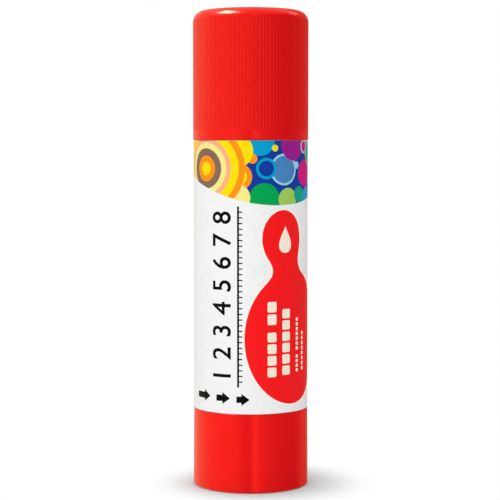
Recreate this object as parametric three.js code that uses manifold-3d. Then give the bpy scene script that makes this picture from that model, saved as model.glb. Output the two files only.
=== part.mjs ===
// A twist-up glue stick with its cap on, standing on its twist base.
// Millimetres, +Z up. The origin is the centre of the base's rim, and the label's front faces -Y.
// Turning the base about +Z turns a left-handed spindle, which lifts the carrier and the glue.
import * as THREE from "three";
import { mergeVertices } from "three/addons/utils/BufferGeometryUtils.js";
import Module from "manifold-3d";

const wasm = await Module();
wasm.setup();

// Driving sizes of the outside
const bodyDiameter = 24.5;
const baseHeight = 16.4;
const sleeveLength = 56.8;
const capLength = 27.3;

// Walls and fits
const capWall = 1.15;
const capTopWall = 1.3;
const capFit = 0.25;
const capSeatGap = 0.1;
const neckWall = 0.9;
const baseWall = 1.15;
const baseFit = 0.25;
const baseSeatGap = 0.2;
const baseDraft = 0.1;
const pistonFit = 0.2;
const seatGap = 0.1;

// Cap
const fluteCount = 100;
const fluteDepth = 0.18;
const fluteWidth = 0.34;
const fluteRunOut = 0.05;
const smoothRim = 1.8;
const capTopRadius = 2.4;
const capEdge = 0.25;
const gripCount = 6;
const gripRadius = 0.5;
const gripFit = 0.08;
const gripLength = 14;
const gripLead = 2;

// Sealing plug in the cap
const plugDiscThickness = 1.0;
const plugDiscFit = 0.2;
const plugLength = 3.3;
const plugWall = 0.8;
const plugFit = 0.15;
const plugBevel = 0.5;
const plugLead = 1.0;
const mouthGap = 0.3;

// Barrel
const mouthEdge = 0.3;
const guideCount = 4;
const guideWidth = 1.0;
const guideHeight = 0.45;
const guideFit = 0.25;
const guideEndGap = 0.7;
const guideFootGap = 0.3;
const skirtLead = 0.6;
const snapProud = 0.45;
const snapRamp = 0.5;
const snapLand = 0.5;
const snapHeight = 3.8;

// Label film, wrapped once round with its end lapped over its start at the back
const filmThickness = 0.1;
const filmGap = 0.02;
const filmMargin = 0.05;
const lapAngle = 18;

// Twist base
const rimWidth = 2.0;
const recessDepth = 0.8;
const recessBevel = 0.5;
const baseFloor = 1.6;
const baseEdge = 0.5;
const lipEdge = 0.25;
const snapFit = 0.2;
const snapPlay = 0.3;
const floorGap = 0.4;
const sealRingHeight = 3.2;
const sealRingWall = 0.8;
const hubRadius = 4.2;
const hubHeight = 2.8;

// Spindle
const threadLead = 6;
const threadRadius = 3.3;
const coreRadius = 2.4;
const crestWidth = 1.0;
const rootWidth = 2.0;
const flangeRadius = 4.6;
const flangeThickness = 1.0;
const shankAcrossFlats = 4.2;
const shankLength = 3.4;
const shankFit = 0.12;
const threadStart = 0.3;

// Carrier
const carrierLift = 0.6;
const carrierSkirt = 5.0;
const carrierWall = 1.0;
const platformThickness = 1.2;
const cupDepth = 4.3;
const nutRadius = 5.0;
const nutRise = 1.0;
const nutLift = 0.4;
const threadFit = 0.25;
const webThickness = 0.8;
const webRise = 2.6;
const webBury = 0.5;

// Glue
const glueHeadGap = 2.6;
const glueDome = 0.6;
const glueEdge = 0.4;
const glueOverSpindle = 1.5;
const boreFit = 0.3;
const glueFit = 0.15;
const webFit = 0.3;

// Facets of round work, of the threads, and of small and large arcs
const roundSides = 48;
const threadSides = 12;
const gripSides = 8;
const edgeSteps = 3;
const shoulderSteps = 5;
const domeSteps = 3;

// How far a cutter runs past what it cuts
const overcut = 1;

// Levels and radii that several pieces share
const bodyRadius = bodyDiameter / 2;
const neckRadius = bodyRadius - capWall - capFit;
const boreRadius = neckRadius - neckWall;
const pistonRadius = boreRadius - pistonFit;
const guideTip = boreRadius - guideHeight;
const skirtRadius = bodyRadius - baseWall - baseFit;
const baseBore = bodyRadius - baseWall;
const shoulderLow = baseHeight + baseSeatGap;
const shoulderHigh = shoulderLow + sleeveLength;
const capRim = shoulderHigh + capSeatGap;
const capTop = capRim + capLength;
const capCeiling = capTop - capTopWall;
const plugTop = capCeiling - seatGap;
const plugUnder = plugTop - plugDiscThickness;
const mouthLevel = plugUnder - mouthGap;
const plugEnd = plugUnder - plugLength;
const sleeveRadius = bodyRadius - 2 * (filmThickness + filmGap);
const floorLevel = recessDepth + baseFloor;
const skirtEnd = floorLevel + floorGap;
const snapLevel = skirtEnd + snapHeight;
const sealRingTop = floorLevel + sealRingHeight;
const hubTop = floorLevel + hubHeight;
const flangeLevel = hubTop + seatGap;
const flangeTop = flangeLevel + flangeThickness;
const carrierLevel = sealRingTop + carrierLift;
const platformLevel = carrierLevel + carrierSkirt;
const platformTop = platformLevel + platformThickness;
const cupTop = platformTop + cupDepth;
const nutLevel = flangeTop + nutLift;
const nutTop = platformTop + nutRise;
const webTop = platformTop + webRise;
const glueLevel = platformTop + seatGap;
const glueTop = plugEnd - glueHeadGap;
const spindleTop = glueTop - glueOverSpindle;
const threadOrigin = flangeTop + threadStart + rootWidth;
const threadEnd = spindleTop - rootWidth;

// A point of a plan view, its angle in degrees from the front (-Y) towards +X
function planPoint(radius, degrees) {
  const angle = THREE.MathUtils.degToRad(degrees);
  return new THREE.Vector2(radius * Math.sin(angle), -radius * Math.cos(angle));
}

// Joining and cutting works on solids made of merged vertices
function toSolid(geometry) {
  const bare = new THREE.BufferGeometry();
  bare.setAttribute("position", geometry.getAttribute("position"));
  bare.setIndex(geometry.getIndex());
  const merged = mergeVertices(bare, 1e-4);
  return new wasm.Manifold(
    new wasm.Mesh({
      numProp: 3,
      vertProperties: new Float32Array(merged.getAttribute("position").array),
      triVerts: new Uint32Array(merged.getIndex().array),
    }),
  );
}

function toGeometry(solid) {
  const { vertProperties, triVerts } = solid.getMesh();
  const indexed = new THREE.BufferGeometry();
  indexed.setAttribute("position", new THREE.BufferAttribute(vertProperties, 3));
  indexed.setIndex(new THREE.BufferAttribute(triVerts, 1));
  const geometry = indexed.toNonIndexed();
  geometry.computeVertexNormals();
  return geometry;
}

// A turned solid from [radius, level] points, which run up the outside and down the inside
function turned(profile, sides = roundSides) {
  const points = profile.map(([radius, level]) => new THREE.Vector2(radius, level));
  return toSolid(new THREE.LatheGeometry(points, sides).rotateX(Math.PI / 2));
}

// An upright prism from a plan outline
function upright(outline, low, high, holes = []) {
  const shape = new THREE.Shape(outline);
  shape.holes = holes.map((hole) => new THREE.Path(hole));
  const geometry = new THREE.ExtrudeGeometry(shape, { depth: high - low, bevelEnabled: false });
  return toSolid(geometry.translate(0, 0, low));
}

function block(width, depth, low, high) {
  return toSolid(new THREE.BoxGeometry(width, depth, high - low).translate(0, 0, (low + high) / 2));
}

function hexagon(acrossFlats) {
  const cornerRadius = acrossFlats / 2 / Math.cos(Math.PI / 6);
  return Array.from({ length: 6 }, (_, side) => planPoint(cornerRadius, side * 60));
}

// Quarter-round points from one [radius, level] to another about a centre, angles in degrees
function arc(centreRadius, centreLevel, radius, from, to, steps) {
  return Array.from({ length: steps + 1 }, (_, step) => {
    const angle = THREE.MathUtils.degToRad(from + ((to - from) * step) / steps);
    return [centreRadius + radius * Math.cos(angle), centreLevel + radius * Math.sin(angle)];
  });
}

// The left-handed ridge of the thread: a trapezium swept down a helix, its foot buried in the core.
// grow is the running clearance that turns the same ridge into the nut's cutter.
function threadRidge(low, high, grow) {
  const foot = coreRadius / 2;
  const crest = threadRadius + grow;
  const halfCrest = crestWidth / 2 + grow;
  const halfRoot = rootWidth / 2 + grow;
  const slope = (halfRoot - halfCrest) / (threadRadius - coreRadius);
  const halfFoot = halfRoot + slope * (coreRadius - foot);
  const section = [
    [foot, -halfFoot],
    [crest, -halfCrest],
    [crest, halfCrest],
    [foot, halfFoot],
  ];
  // Steps are counted from one fixed level, so that ridge and cutter share their angles
  const stepLift = threadLead / threadSides;
  const first = Math.round((low - threadOrigin) / stepLift);
  const last = Math.round((high - threadOrigin) / stepLift);
  const positions = [];
  for (let step = first; step <= last; step += 1) {
    for (const [radius, offset] of section) {
      const point = planPoint(radius, (-360 * step) / threadSides);
      positions.push(point.x, point.y, threadOrigin + step * stepLift + offset);
    }
  }
  const index = [0, 2, 1, 0, 3, 2];
  const corners = section.length;
  for (let step = 0; step < last - first; step += 1) {
    for (let corner = 0; corner < corners; corner += 1) {
      const here = step * corners + corner;
      const beside = step * corners + ((corner + 1) % corners);
      index.push(here, beside + corners, here + corners, here, beside, beside + corners);
    }
  }
  const end = (last - first) * corners;
  index.push(end, end + 1, end + 2, end, end + 2, end + 3);
  const ridge = new THREE.BufferGeometry();
  ridge.setAttribute("position", new THREE.Float32BufferAttribute(positions, 3));
  ridge.setIndex(index);
  return toSolid(ridge);
}

// Cap: a fluted cup with a smooth rim, a rounded top edge and grip ribs inside its skirt
function makeCapShell() {
  const bore = bodyRadius - capWall;
  const cup = turned(
    [
      [0, capCeiling],
      [bore, capCeiling],
      [bore, capRim + capEdge],
      [bore + capEdge, capRim],
      [bodyRadius - capEdge, capRim],
      [bodyRadius, capRim + capEdge],
      ...arc(bodyRadius - capTopRadius, capTop - capTopRadius, capTopRadius, 0, 90, shoulderSteps),
      [0, capTop],
    ],
    fluteCount,
  );
  const pitch = 360 / fluteCount;
  const halfFlute = THREE.MathUtils.radToDeg(fluteWidth / 2 / bodyRadius);
  const flutes = Array.from({ length: fluteCount }, (_, flute) => [
    planPoint(bodyRadius + fluteRunOut, flute * pitch - halfFlute),
    planPoint(bodyRadius - fluteDepth, flute * pitch),
    planPoint(bodyRadius + fluteRunOut, flute * pitch + halfFlute),
  ]).flat();
  const outside = Array.from({ length: roundSides }, (_, side) =>
    planPoint(bodyRadius + overcut, (side * 360) / roundSides),
  );
  const cutter = upright(outside, capRim + smoothRim, capTop - capTopRadius, [flutes]);
  let shell = cup.subtract(cutter);
  const gripCentre = neckRadius + gripFit + gripRadius;
  for (let grip = 0; grip < gripCount; grip += 1) {
    const angle = ((grip + 0.5) * 360) / gripCount;
    const centre = planPoint(gripCentre, angle);
    const rib = turned(
      [
        [0, capRim + gripLead],
        [gripRadius, capRim + gripLead + gripRadius],
        [gripRadius, capRim + gripLead + gripLength],
        [0, capRim + gripLead + gripLength + gripRadius],
      ],
      gripSides,
    ).translate([centre.x, centre.y, 0]);
    shell = shell.add(rib);
  }
  return shell;
}

// Sealing plug: a disc under the cap's top, with a ring that closes the barrel's mouth
function makeCapPlug() {
  const disc = bodyRadius - capWall - plugDiscFit;
  const ring = boreRadius - plugFit;
  return turned([
    [0, plugUnder],
    [ring - plugWall, plugUnder],
    [ring - plugWall, plugEnd],
    [ring - plugBevel, plugEnd],
    [ring, plugEnd + plugLead],
    [ring, plugUnder],
    [disc, plugUnder],
    [disc, plugTop],
    [0, plugTop],
  ]);
}

// Barrel: the label's sleeve, the neck under the cap, and a skirt that snaps into the base
function makeBarrel() {
  const bead = skirtRadius + snapProud;
  const halfLand = snapLand / 2;
  let tube = turned([
    [boreRadius, skirtEnd],
    [skirtRadius - mouthEdge, skirtEnd],
    [skirtRadius, skirtEnd + skirtLead],
    [skirtRadius, snapLevel - halfLand - snapRamp],
    [bead, snapLevel - halfLand],
    [bead, snapLevel + halfLand],
    [skirtRadius, snapLevel + halfLand + snapRamp],
    [skirtRadius, shoulderLow],
    [sleeveRadius, shoulderLow],
    [sleeveRadius, shoulderHigh],
    [neckRadius, shoulderHigh],
    [neckRadius, mouthLevel - mouthEdge],
    [neckRadius - mouthEdge, mouthLevel],
    [boreRadius + mouthEdge, mouthLevel],
    [boreRadius, mouthLevel - mouthEdge],
    [boreRadius, skirtEnd],
  ]);
  const guideLow = sealRingTop + guideFootGap;
  const guideHigh = plugEnd - guideEndGap;
  const buried = neckWall / 2;
  for (let guide = 0; guide < guideCount; guide += 1) {
    const rail = block(guideWidth, guideHeight + buried, guideLow, guideHigh)
      .translate([0, -(guideTip + (guideHeight + buried) / 2), 0])
      .rotate([0, 0, (guide * 360) / guideCount]);
    tube = tube.add(rail);
  }
  return tube;
}

// Label: one film round the sleeve, whose last degrees lie over its first
function makeLabel() {
  const stepAngle = 360 / roundSides;
  const lapSteps = Math.max(1, Math.round(lapAngle / stepAngle));
  const steps = roundSides + lapSteps;
  const firstAngle = 180 - (lapSteps * stepAngle) / 2;
  const inside = [];
  const outside = [];
  for (let step = 0; step <= steps; step += 1) {
    const lifted = step >= roundSides - 1 ? filmThickness + filmGap : 0;
    const radius = sleeveRadius + filmGap + lifted;
    const angle = (Math.round(firstAngle / stepAngle) + step) * stepAngle;
    inside.push(planPoint(radius, angle));
    outside.push(planPoint(radius + filmThickness, angle));
  }
  return upright([...outside, ...inside.reverse()], shoulderLow + filmMargin, shoulderHigh - filmMargin);
}

// Twist base: a cup with a ring for the barrel's bead, a sealing ring and the spindle's hub
function makeBase() {
  const rimInner = bodyRadius - baseEdge - rimWidth;
  const top = bodyRadius - baseDraft;
  const ring = boreRadius - plugFit;
  const groove = skirtRadius + snapProud + snapFit;
  const grooveHalf = snapLand / 2 + snapPlay;
  const cup = turned([
    [0, recessDepth],
    [rimInner - recessBevel, recessDepth],
    [rimInner, 0],
    ...arc(bodyRadius - baseEdge, baseEdge, baseEdge, -90, 0, edgeSteps),
    [top, baseHeight - lipEdge],
    [top - lipEdge, baseHeight],
    [baseBore, baseHeight],
    [baseBore, snapLevel + grooveHalf + snapRamp],
    [groove, snapLevel + grooveHalf],
    [groove, snapLevel - grooveHalf],
    [baseBore, snapLevel - grooveHalf - snapRamp],
    [baseBore, floorLevel],
    [ring, floorLevel],
    [ring, sealRingTop],
    [ring - sealRingWall, sealRingTop],
    [ring - sealRingWall, floorLevel],
    [hubRadius, floorLevel],
    [hubRadius, hubTop],
    [0, hubTop],
  ]);
  const socket = hexagon(shankAcrossFlats + 2 * shankFit);
  return cup.subtract(upright(socket, flangeLevel - shankLength - seatGap, hubTop + overcut));
}

// Spindle: a hexagonal shank in the base's hub, a flange on it, and the thread up the middle
function makeSpindle() {
  const core = turned(
    [
      [0, flangeLevel],
      [flangeRadius, flangeLevel],
      [flangeRadius, flangeTop],
      [coreRadius, flangeTop],
      [coreRadius, spindleTop - threadStart],
      [coreRadius - threadStart, spindleTop],
      [0, spindleTop],
    ],
    threadSides,
  );
  const shank = upright(
    hexagon(shankAcrossFlats),
    flangeLevel - shankLength,
    flangeLevel + flangeThickness / 2,
  );
  const ridge = threadRidge(threadOrigin, threadEnd, 0);
  return core.add(shank).add(ridge);
}

// Grooves that let a piece slide on the barrel's guides
function cutForGuides(solid, low, high) {
  const depth = pistonRadius - guideTip + guideFit + overcut;
  let cut = solid;
  for (let guide = 0; guide < guideCount; guide += 1) {
    const slot = block(guideWidth + 2 * guideFit, depth, low - overcut, high + overcut)
      .translate([0, -(guideTip - guideFit + depth / 2), 0])
      .rotate([0, 0, (guide * 360) / guideCount]);
    cut = cut.subtract(slot);
  }
  return cut;
}

// The four webs that stiffen the nut, or with grow the room for them in the glue
function crossedWebs(reach, low, high, grow) {
  const web = block(2 * reach, webThickness + 2 * grow, low, high);
  const middle = turned([
    [0, low - overcut],
    [nutRadius - webBury, low - overcut],
    [nutRadius - webBury, high + overcut],
    [0, high + overcut],
  ]);
  return web.rotate([0, 0, 45]).add(web.rotate([0, 0, -45])).subtract(middle);
}

// Carrier: a piston with a skirt below, a cup for the glue above, and the nut in the middle
function makeCarrier() {
  const wallInner = pistonRadius - carrierWall;
  const body = turned([
    [0, nutLevel],
    [nutRadius, nutLevel],
    [nutRadius, platformLevel],
    [wallInner, platformLevel],
    [wallInner, carrierLevel],
    [pistonRadius, carrierLevel],
    [pistonRadius, cupTop],
    [wallInner, cupTop],
    [wallInner, platformTop],
    [nutRadius, platformTop],
    [nutRadius, nutTop],
    [0, nutTop],
  ]);
  const webs = crossedWebs(pistonRadius - carrierWall / 2, nutLevel + webBury, webTop, 0);
  const slotted = cutForGuides(body.add(webs), carrierLevel, cupTop);
  const hole = turned(
    [
      [0, nutLevel - overcut],
      [coreRadius + threadFit, nutLevel - overcut],
      [coreRadius + threadFit, nutTop + overcut],
      [0, nutTop + overcut],
    ],
    threadSides,
  );
  const thread = threadRidge(nutLevel - threadLead, nutTop + threadLead, threadFit);
  return slotted.subtract(hole).subtract(thread);
}

// Glue: cast into the carrier's cup and the bore, with the spindle's hole up its middle
function makeGlue() {
  const inCup = pistonRadius - carrierWall - glueFit;
  const hole = threadRadius + boreFit;
  const faceRadius = pistonRadius - glueEdge;
  const face = Array.from({ length: domeSteps }, (_, step) => {
    const share = 1 - step / domeSteps;
    return [faceRadius * share, glueTop - glueDome * share ** 2];
  });
  const stick = turned([
    [nutRadius + glueFit, glueLevel],
    [inCup, glueLevel],
    [inCup, cupTop + glueFit],
    [pistonRadius, cupTop + glueFit],
    [pistonRadius, glueTop - glueDome - glueEdge],
    ...face,
    [0, glueTop],
    [0, spindleTop + boreFit],
    [hole, spindleTop + boreFit],
    [hole, nutTop + glueFit],
    [nutRadius + glueFit, nutTop + glueFit],
    [nutRadius + glueFit, glueLevel],
  ]);
  const room = crossedWebs(pistonRadius, glueLevel - overcut, webTop + webFit, webFit);
  return cutForGuides(stick.subtract(room), glueLevel, glueTop);
}

const redPlastic = { color: 0xe3211f, roughness: 0.32, metalness: 0 };
const whitePlastic = { color: 0xf1f0ec, roughness: 0.45, metalness: 0 };
const naturalPlastic = { color: 0xe6e6dd, roughness: 0.5, metalness: 0 };
const labelFilm = { color: 0xf3f3f1, roughness: 0.3, metalness: 0 };
const glueMass = { color: 0xf0ecdf, roughness: 0.4, metalness: 0 };

const pieces = [
  ["cap_shell", makeCapShell(), redPlastic],
  ["cap_seal_plug", makeCapPlug(), naturalPlastic],
  ["barrel", makeBarrel(), whitePlastic],
  ["label", makeLabel(), labelFilm],
  ["twist_base", makeBase(), redPlastic],
  ["spindle", makeSpindle(), naturalPlastic],
  ["carrier", makeCarrier(), naturalPlastic],
  ["glue", makeGlue(), glueMass],
];

const glueStick = new THREE.Group();
for (const [name, solid, finish] of pieces) {
  const mesh = new THREE.Mesh(toGeometry(solid), new THREE.MeshStandardMaterial(finish));
  mesh.name = name;
  glueStick.add(mesh);
}

export default glueStick;
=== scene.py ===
import bpy
import math
import numpy as np
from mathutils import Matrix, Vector
from mathutils.geometry import delaunay_2d_cdt
from types import SimpleNamespace as Sizes


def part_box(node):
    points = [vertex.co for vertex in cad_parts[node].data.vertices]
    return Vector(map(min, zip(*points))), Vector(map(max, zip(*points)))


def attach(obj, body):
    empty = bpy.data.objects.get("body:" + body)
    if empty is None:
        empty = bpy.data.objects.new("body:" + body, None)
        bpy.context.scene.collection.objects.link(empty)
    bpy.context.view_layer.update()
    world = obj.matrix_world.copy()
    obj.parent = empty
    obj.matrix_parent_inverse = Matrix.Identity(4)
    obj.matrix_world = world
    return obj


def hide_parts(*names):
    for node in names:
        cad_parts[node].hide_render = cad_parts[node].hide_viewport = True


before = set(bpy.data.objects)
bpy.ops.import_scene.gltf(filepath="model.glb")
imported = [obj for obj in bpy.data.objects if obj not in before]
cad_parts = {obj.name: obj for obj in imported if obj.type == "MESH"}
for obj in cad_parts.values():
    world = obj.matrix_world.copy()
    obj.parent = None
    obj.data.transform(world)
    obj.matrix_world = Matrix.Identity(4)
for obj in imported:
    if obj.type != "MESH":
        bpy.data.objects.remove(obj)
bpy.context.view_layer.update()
print("frame loaded:", ", ".join(sorted(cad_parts)))

mm = 0.001  # the sizes of the pieces are millimetres, meshes are metres


# The low and the high corner of a CAD node's box, in mm
def nodeBox(node):
    low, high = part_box(node)
    return np.array(low) / mm, np.array(high) / mm


capLow, capHigh = nodeBox("cap_shell")
plugLow, plugHigh = nodeBox("cap_seal_plug")
barrelLow, barrelHigh = nodeBox("barrel")
labelLow, labelHigh = nodeBox("label")
baseHigh = nodeBox("twist_base")[1]
glueHigh = nodeBox("glue")[1]
carrierHigh = nodeBox("carrier")[1]
bodyRadius = capHigh[0]


# 0 below low, 1 above high, and a smooth S between them
def smoothStep(low, high, x):
    t = np.clip((np.asarray(x, float) - low) / (high - low), 0, 1)
    return t * t * (3 - 2 * t)


# How far each angle is from the nearest of start, start + every, start + 2 every and so on
def fromNearest(angles, every, start=0.0):
    return (np.asarray(angles, float) - start + every / 2) % every - every / 2


# Angles of evenly spaced columns, in degrees
def evenColumns(count):
    return np.arange(count) * 360 / count


# Even columns, and one more at each of the angles beside every repeat of a feature
def columnsWith(count, features, beside):
    near = (np.arange(features)[:, None] * 360 / features + beside).ravel()
    return np.unique(np.round(np.concatenate([evenColumns(count), near]) % 360, 4))


# A profile from corners of (radius, level, fillet, steps), where the last two are 0 and 5 if left out. A
# corner with a fillet becomes an arc that touches both its sides. Where a side has room for it, a holding
# point stands just beyond the arc's end, so that long walls keep a flat shading.
def roundedProfile(corners, hold=0.1, room=3):
    corners = [tuple(c) + (0, 5)[len(c) - 2:] for c in corners]
    points = np.array([c[:2] for c in corners], float)
    rows = []
    for k, corner in enumerate(corners):
        here = points[k]
        fillet, steps = corner[2:]
        if fillet <= 0 or k in (0, len(corners) - 1):
            rows.append(here)
            continue
        back = points[k - 1] - here
        on = points[k + 1] - here
        backLength, onLength = np.linalg.norm(back), np.linalg.norm(on)
        back, on = back / backLength, on / onLength
        half = math.acos(float(np.clip(back @ on, -1, 1))) / 2
        reach = fillet / math.tan(half)
        middle = here + (back + on) / np.linalg.norm(back + on) * fillet / math.sin(half)
        first, last = here + back * reach - middle, here + on * reach - middle
        start = math.atan2(first[1], first[0])
        turn = (math.atan2(last[1], last[0]) - start + math.pi) % (2 * math.pi) - math.pi
        sweep = start + turn * np.linspace(0, 1, steps + 1)
        if backLength > room * (reach + hold):
            rows.append(here + back * (reach + hold))
        rows.extend(middle + fillet * np.stack([np.cos(sweep), np.sin(sweep)], 1))
        if onLength > room * (reach + hold):
            rows.append(here + on * (reach + hold))
    return np.array(rows)


# A turned surface: row i, column j lies at (r sin a, -r cos a, z), with the angle a in degrees from the
# front (-Y) towards +X. The rows end in poles on the axis, or else the last row joins the first. Edges
# that bend by more than sharp degrees are shaded sharp.
def turnedMesh(name, radii, levels, angles, sharp=35):
    turn = np.radians(angles)
    shape = (len(radii), len(turn))
    radii = np.broadcast_to(np.reshape(radii, (len(radii), -1)), shape)
    levels = np.broadcast_to(np.reshape(levels, (len(radii), -1)), shape)
    points = np.stack([radii * np.sin(turn), -radii * np.cos(turn), levels], -1)
    poled = radii[0].max() < 1e-9
    rings = points[1:-1] if poled else points
    count, columns = rings.shape[:2]
    grid = np.arange(count * columns).reshape(count, columns)
    beside = np.roll(grid, -1, 1)
    if poled:
        quads = np.stack([grid[:-1], beside[:-1], beside[1:], grid[1:]], -1).reshape(-1, 4)
        low, high = grid.size, grid.size + 1
        fans = np.concatenate([
            np.stack([beside[0], grid[0], np.full(columns, low)], -1),
            np.stack([grid[-1], beside[-1], np.full(columns, high)], -1)])
        vertices = np.concatenate([rings.reshape(-1, 3), points[0, :1], points[-1, :1]])
    else:
        quads = np.stack([grid, beside, np.roll(beside, -1, 0), np.roll(grid, -1, 0)], -1).reshape(-1, 4)
        fans = np.empty((0, 3), int)
        vertices = rings.reshape(-1, 3)
    return meshFrom(name, vertices, quads, fans, sharp)


# A mesh from arrays, turned right side out by the sign of the volume that it encloses
def meshFrom(name, vertices, quads, triangles, sharp):
    halves = np.concatenate([quads[:, [0, 1, 2]], quads[:, [0, 2, 3]], triangles])
    a, b, c = (vertices[halves[:, k]] for k in range(3))
    if np.einsum("ij,ij->i", a, np.cross(b, c)).sum() < 0:
        quads, triangles = quads[:, ::-1], triangles[:, ::-1]
    mesh = bpy.data.meshes.new(name)
    mesh.from_pydata((vertices * mm).tolist(), [], quads.tolist() + triangles.tolist())
    mesh.shade_smooth()
    mesh.set_sharp_from_angle(angle=math.radians(sharp))
    return mesh


# A new object in the scene
def addObject(name, data):
    made = bpy.data.objects.new(name, data)
    bpy.context.scene.collection.objects.link(made)
    return made


# Puts a piece in the scene on its CAD body, in the place of its CAD node
def addPiece(name, mesh, material, body, node):
    piece = addObject(name, mesh)
    mesh.materials.append(material)
    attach(piece, body)
    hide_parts(node)
    print("made", name, len(mesh.polygons), "faces")


# sRGB hex to linear RGBA
def linear(code):
    parts = [int(code[k:k + 2], 16) / 255 for k in (1, 3, 5)]
    return [p / 12.92 if p <= 0.04045 else ((p + 0.055) / 1.055) ** 2.4 for p in parts] + [1.0]


# Adds a shader node with its settings; an input is a value, or the socket or the node that feeds it, which
# gives its first output
def addNode(tree, kind, inputs=None, **settings):
    node = tree.nodes.new("ShaderNode" + kind)
    for key, value in settings.items():
        setattr(node, key, value)
    for key, value in (inputs or {}).items():
        if isinstance(value, bpy.types.Node):
            value = value.outputs[0]
        if isinstance(value, bpy.types.NodeSocket):
            tree.links.new(value, node.inputs[key])
        else:
            node.inputs[key].default_value = value
    return node


# A material whose node tree is still empty
def newMaterial(name):
    material = bpy.data.materials.new(name)
    material.use_nodes = True
    material.node_tree.nodes.clear()
    return material, material.node_tree


# Noise with features of a size in mm, stretched along Z by lengthwise and moved aside by offset
def grainNoise(tree, coords, size, lengthwise=1.0, detail=2.0, offset=0.0):
    place = addNode(tree, "Mapping", {
        "Vector": coords, "Location": (offset, 0, 0), "Scale": (1, 1, 1 / lengthwise)})
    return addNode(tree, "TexNoise", {"Vector": place, "Scale": 1 / (size * mm), "Detail": detail})


noiseSpan = {"From Min": 0.3, "From Max": 0.7}  # noise lies nearly all between these


# A colour that goes from one to another with the noise
def cloudyColour(tree, noise, low, high):
    share = addNode(tree, "MapRange", {"Value": noise, **noiseSpan})
    return addNode(tree, "Mix", {0: share, 6: linear(low), 7: linear(high)}, data_type="RGBA").outputs[2]


# What ends each material of a piece: bumps of a depth in mm, the shader and the output
def addSurface(tree, height, relief, depth, inputs):
    bump = addNode(tree, "Bump", {"Height": height, "Strength": relief, "Distance": depth * mm})
    shader = addNode(tree, "BsdfPrincipled", {**inputs, "Normal": bump})
    addNode(tree, "OutputMaterial", {"Surface": shader})


# Moulded polypropylene: coloured all through, glossy where the mould was polished. The eye sees melt flow
# lines along the draw, slightly uneven gloss, and two layers of sheen: a soft one in the colour sheen,
# because light that scatters just under the skin comes back coloured, and a thin sharp white one. The reds
# have a higher IOR than the 1.5 of plain plastic, because that coloured layer is strong in them. In the
# grooves between flutes the colour is darkened by the share grooves times the attribute groove: painted
# shade, which stands in for the light that does not reach their bottoms.
def mouldedPlastic(name, deep, bright, roughness, sheen, gloss=0.5, ior=1.5, skin=0.0, relief=0.1,
                   grooves=0.0, skinRoughness=0.12, flowHeight=0.35, bumpDepth=0.1):
    material, tree = newMaterial(name)
    coords = addNode(tree, "TexCoord").outputs["Object"]
    clouds = grainNoise(tree, coords, size=14.0, lengthwise=2.5)
    flow = grainNoise(tree, coords, size=1.1, lengthwise=30.0, detail=1.0, offset=0.7)
    peel = grainNoise(tree, coords, size=2.2, lengthwise=1.3, detail=1.0, offset=0.3)
    smudges = grainNoise(tree, coords, size=4.0, lengthwise=1.5, detail=3.0, offset=0.1)
    colour = cloudyColour(tree, clouds, deep, bright)
    # painted shade in the flutes: the colour darkens with the attribute groove, for the light that misses
    # their bottoms
    if grooves:
        sunk = addNode(tree, "Attribute", attribute_name="groove").outputs["Fac"]
        kept = addNode(tree, "Math", {0: sunk, 1: -grooves, 2: 1.0}, operation="MULTIPLY_ADD")
        colour = addNode(tree, "VectorMath", {0: colour, "Scale": kept}, operation="SCALE")
    rough = addNode(tree, "MapRange", {
        "Value": smudges, **noiseSpan, "To Min": roughness * 0.92, "To Max": roughness * 1.1})
    height = addNode(tree, "Math", {0: flow, 1: flowHeight, 2: peel}, operation="MULTIPLY_ADD")
    addSurface(tree, height, relief, bumpDepth, {
        "Base Color": colour,
        "Roughness": rough,
        "Specular IOR Level": gloss,
        "IOR": ior,
        "Specular Tint": linear(sheen),
        "Coat Weight": skin,
        "Coat Roughness": skinRoughness})
    return material


# Natural polyethylene and polypropylene: no pigment, so light sinks in a little and it looks milky
def naturalPlastic(name, colour, shade, roughness, sinkIn=0.6, relief=0.08, bumpDepth=0.1):
    material, tree = newMaterial(name)
    coords = addNode(tree, "TexCoord").outputs["Object"]
    clouds = grainNoise(tree, coords, size=5.0, lengthwise=2.0)
    fine = grainNoise(tree, coords, size=0.5, offset=0.4)
    mixed = cloudyColour(tree, clouds, shade, colour)
    rough = addNode(tree, "MapRange", {
        "Value": fine, **noiseSpan, "To Min": roughness * 0.9, "To Max": roughness * 1.15})
    addSurface(tree, fine, relief, bumpDepth, {
        "Base Color": mixed,
        "Roughness": rough,
        "Subsurface Weight": 0.2,
        "Subsurface Radius": (1.0, 0.9, 0.8),
        "Subsurface Scale": sinkIn * mm})
    return material


# The cap's and the base's red: the polished mould of the base gives the sharper reflections
redSheen = "#FF3A14"
# the cap's colour darkens in its flutes by up to 14 percent: painted shade
capRed = mouldedPlastic(
    "red polypropylene, fluted cap", "#F11219", "#F6141B", roughness=0.22, sheen=redSheen, gloss=1.0,
    ior=1.92, skin=0.11, relief=0.02, grooves=0.14)
baseRed = mouldedPlastic(
    "red polypropylene, polished base", "#F8131B", "#FD161D", roughness=0.19, sheen=redSheen, gloss=1.0,
    ior=1.92, skin=0.04, relief=0.06)
barrelWhite = mouldedPlastic(
    "white polypropylene, satin", "#E9E9E5", "#EFEFEB", roughness=0.4, sheen="#FFFFFF")
naturalCap = naturalPlastic("natural polyethylene, waxy", "#EBEBE4", "#E2E2DA", roughness=0.45)
naturalScrew = naturalPlastic("natural polypropylene, lead screw", "#E8E8DF", "#DEDED4", roughness=0.4)
naturalCarrier = naturalPlastic("natural polypropylene, carrier", "#EAEAE2", "#DFDFD6", roughness=0.42)


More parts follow.
